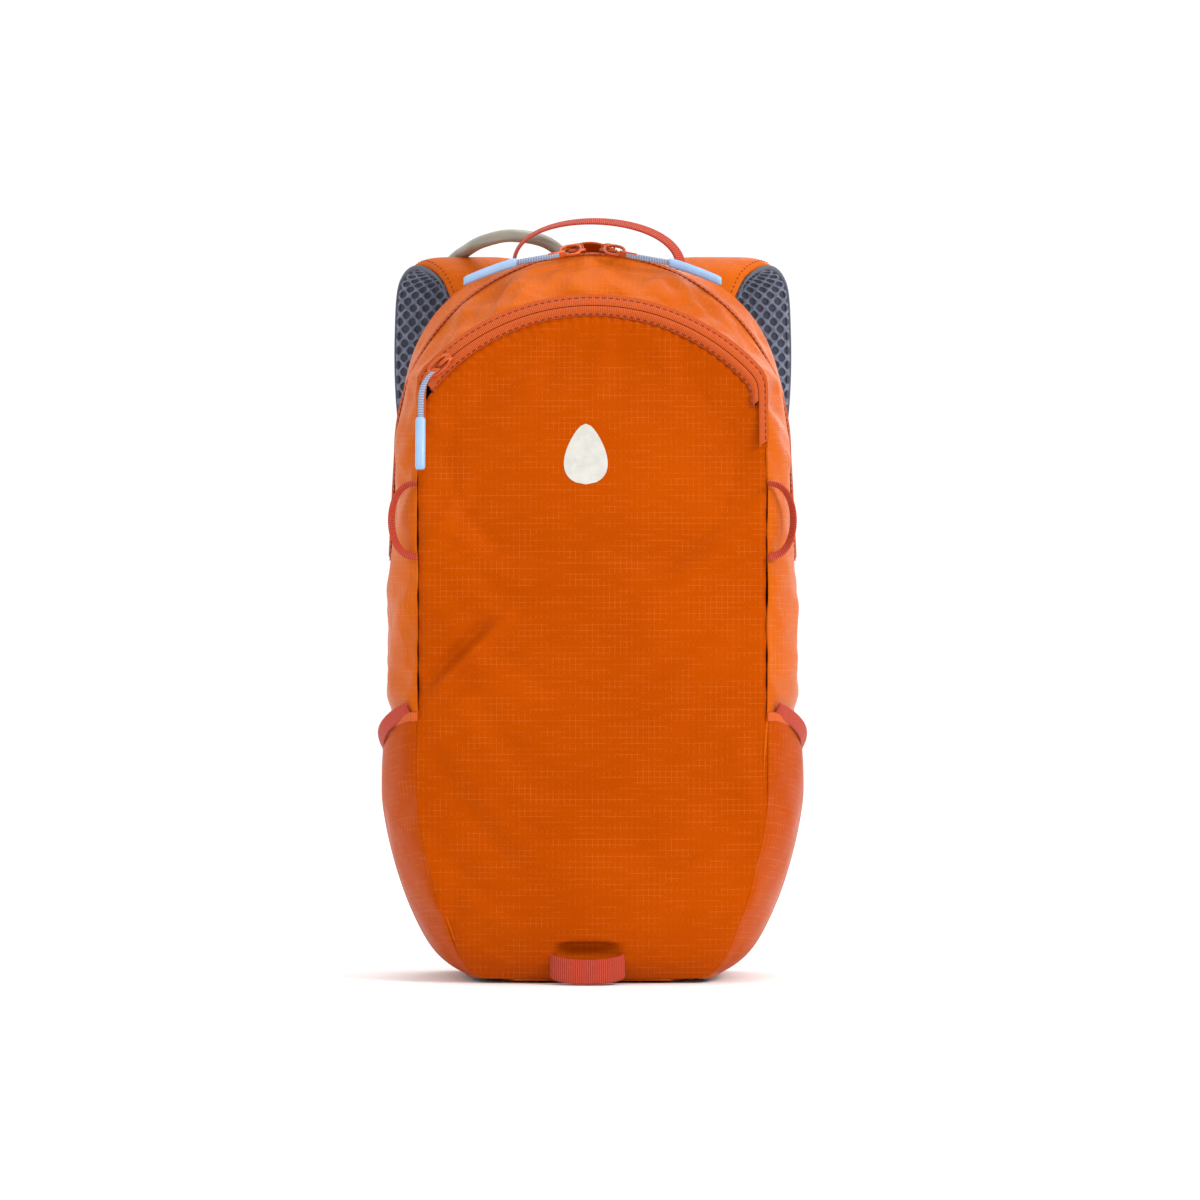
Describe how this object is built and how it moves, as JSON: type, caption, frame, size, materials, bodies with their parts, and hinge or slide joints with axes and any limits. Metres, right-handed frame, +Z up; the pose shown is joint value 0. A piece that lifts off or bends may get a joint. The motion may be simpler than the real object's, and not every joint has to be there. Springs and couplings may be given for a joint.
{
  "type": "hydration daypack",
  "caption": "Clamshell hydration daypack with a zipped lid, arched front pocket, side pockets, padded harness, sternum strap and drinking hose.",
  "frame": {"origin": "middle of the flat base that the pack stands on, level with its lowest face", "axes": "+Z up, -Y the outward front of the pack, +Y the side against the wearer, +X to the right of someone facing the front"},
  "size_m": [0.2592, 0.2108, 0.4669],
  "materials": {
    "ripstop": "ripstop nylon, soft satin",
    "gusset_fabric": "plain nylon, soft satin",
    "zip_tape": "coated coil zip",
    "coral_webbing": "ribbed polyester webbing",
    "spacer_mesh": "open spacer mesh",
    "slider_metal": "satin enamel",
    "pull_cord": "flat braided cord",
    "pale_grip": "moulded, satin",
    "dark_plastic": "moulded acetal, fine texture",
    "drink_hose": "flexible polyurethane, satin",
    "bite_silicone": "translucent silicone",
    "reservoir_film": "clear blue film"
  },
  "bodies": {
    "pack": {"bottom_panel": "ripstop", "back_panel": "ripstop", "back_pad": "spacer_mesh", "rear_gusset": "gusset_fabric", "front_panel_lower": "ripstop", "main_zip_rear_tape": "zip_tape", "lid_fold": "ripstop", "light_loop": "coral_webbing", "port_flap": "gusset_fabric", "drink_hose": "drink_hose", "reservoir": "reservoir_film", "reservoir_clip": "dark_plastic", "reservoir_hanger": "coral_webbing", "hydration_sleeve": "ripstop", "side_panel_left": "gusset_fabric", "side_panel_right": "gusset_fabric", "side_pocket_left": "ripstop", "side_pocket_right": "ripstop", "lower_loop_left": "coral_webbing", "lower_loop_right": "coral_webbing", "strap_webbing_left": "coral_webbing", "strap_webbing_right": "coral_webbing", "strap_anchor_left": "coral_webbing", "strap_anchor_right": "coral_webbing"},
    "lid": {"lid_gusset": "gusset_fabric", "main_zip_lid_tape": "zip_tape", "front_panel_upper": "ripstop", "pocket_zip_outer_tape": "zip_tape", "front_pocket_lining": "ripstop"},
    "flap": {"pocket_flap": "ripstop", "pocket_zip_flap_tape": "zip_tape"},
    "front_zip_slider": {"front_slider": "slider_metal"},
    "front_zip_pull": {"front_pull_cord": "pull_cord", "front_pull_grip": "pale_grip"},
    "handle": {"haul_handle": "coral_webbing"},
    "harness": {"strap_pad_left": "spacer_mesh", "strap_pad_right": "spacer_mesh", "strap_shell_left": "gusset_fabric", "strap_shell_right": "gusset_fabric", "sternum_rail_left": "coral_webbing", "sternum_rail_right": "coral_webbing", "hose_keeper": "dark_plastic", "bite_valve_body": "dark_plastic"},
    "sternum_left": {"sternum_slider_left": "dark_plastic", "sternum_webbing_left": "coral_webbing", "buckle_socket": "dark_plastic"},
    "sternum_right": {"sternum_slider_right": "dark_plastic", "sternum_webbing_right": "coral_webbing", "buckle_plug": "dark_plastic"},
    "mouthpiece": {"bite_valve_mouthpiece": "bite_silicone"},
    "zip_slider_left": {"main_slider_left": "slider_metal"},
    "zip_pull_left": {"main_pull_cord_left": "pull_cord", "main_pull_grip_left": "pale_grip"},
    "loop_left": {"upper_loop_left": "coral_webbing"},
    "lock_left": {"ladder_lock_left": "dark_plastic"},
    "zip_slider_right": {"main_slider_right": "slider_metal"},
    "zip_pull_right": {"main_pull_cord_right": "pull_cord", "main_pull_grip_right": "pale_grip"},
    "loop_right": {"upper_loop_right": "coral_webbing"},
    "lock_right": {"ladder_lock_right": "dark_plastic"}
  },
  "joints": [
    {"name": "lid_hinge", "type": "hinge", "parent": "pack", "child": "lid", "pos_m": [0, 0.008, 0.256], "axis": [1, 0, 0], "range_deg": [0, 36], "deforming": ["lid_fold"]},
    {"name": "flap_hinge", "type": "hinge", "parent": "lid", "child": "flap", "pos_m": [0, -0.0645, 0.345], "axis": [1, 0, 0], "range_deg": [0, 35]},
    {"name": "front_slider_run", "type": "hinge", "parent": "flap", "child": "front_zip_slider", "pos_m": [0, -0.062, 0.283], "axis": [0, 0.9848, -0.1736], "range_deg": [0, 88]},
    {"name": "front_pull_tilt", "type": "hinge", "parent": "front_zip_slider", "child": "front_zip_pull", "pos_m": [-0.0985, -0.0548, 0.3715], "axis": [-1, 0, 0], "range_deg": [0, 75]},
    {"name": "main_slider_left_run", "type": "hinge", "parent": "pack", "child": "zip_slider_left", "pos_m": [0, 0.008, 0.325], "axis": [0, 1, 0], "range_deg": [-66, 0]},
    {"name": "main_slider_right_run", "type": "hinge", "parent": "pack", "child": "zip_slider_right", "pos_m": [0, 0.008, 0.325], "axis": [0, 1, 0], "range_deg": [0, 66]},
    {"name": "main_pull_left_tilt", "type": "hinge", "parent": "zip_slider_left", "child": "zip_pull_left", "pos_m": [-0.0155, -0.006, 0.45], "axis": [0, 1, 0], "range_deg": [0, 60]},
    {"name": "main_pull_right_tilt", "type": "hinge", "parent": "zip_slider_right", "child": "zip_pull_right", "pos_m": [0.0155, -0.006, 0.45], "axis": [0, -1, 0], "range_deg": [0, 60]},
    {"name": "haul_handle_tilt", "type": "hinge", "parent": "pack", "child": "handle", "pos_m": [0, 0.024, 0.4402], "axis": [1, 0, 0], "range_deg": [-4, 22]},
    {"name": "loop_left_swing", "type": "hinge", "parent": "lid", "child": "loop_left", "pos_m": [-0.1116, -0.066, 0.281], "axis": [0, 0, 1], "range_deg": [0, 55]},
    {"name": "loop_right_swing", "type": "hinge", "parent": "lid", "child": "loop_right", "pos_m": [0.1116, -0.066, 0.281], "axis": [0, 0, -1], "range_deg": [0, 55]},
    {"name": "harness_swing", "type": "hinge", "parent": "pack", "child": "harness", "pos_m": [0, 0.06, 0.421], "axis": [1, 0, 0], "range_deg": [0, 8], "deforming": ["drink_hose", "strap_webbing_left", "strap_webbing_right"]},
    {"name": "sternum_left_slide", "type": "slide", "parent": "harness", "child": "sternum_left", "axis": [0, 0.1386, 0.9903], "range_m": [-0.025, 0.025]},
    {"name": "sternum_right_slide", "type": "slide", "parent": "harness", "child": "sternum_right", "axis": [0, 0.1386, 0.9903], "range_m": [-0.025, 0.025]},
    {"name": "ladder_lock_left_tilt", "type": "hinge", "parent": "harness", "child": "lock_left", "pos_m": [-0.08, 0.0984, 0.2032], "axis": [1, 0, 0], "range_deg": [0, 25]},
    {"name": "ladder_lock_right_tilt", "type": "hinge", "parent": "harness", "child": "lock_right", "pos_m": [0.08, 0.0984, 0.2032], "axis": [1, 0, 0], "range_deg": [0, 25]},
    {"name": "bite_valve_twist", "type": "hinge", "parent": "harness", "child": "mouthpiece", "pos_m": [-0.098, 0.118, 0.248], "axis": [0, -0.1386, -0.9903], "range_deg": [0, 90]}
  ],
  "couplings": [
    {"joint": "main_slider_left_run", "follows": "lid_hinge", "ratio": -1.833},
    {"joint": "main_slider_right_run", "follows": "lid_hinge", "ratio": 1.833},
    {"joint": "front_slider_run", "follows": "flap_hinge", "ratio": 2.514},
    {"joint": "sternum_right_slide", "follows": "sternum_left_slide", "ratio": 1}
  ]
}
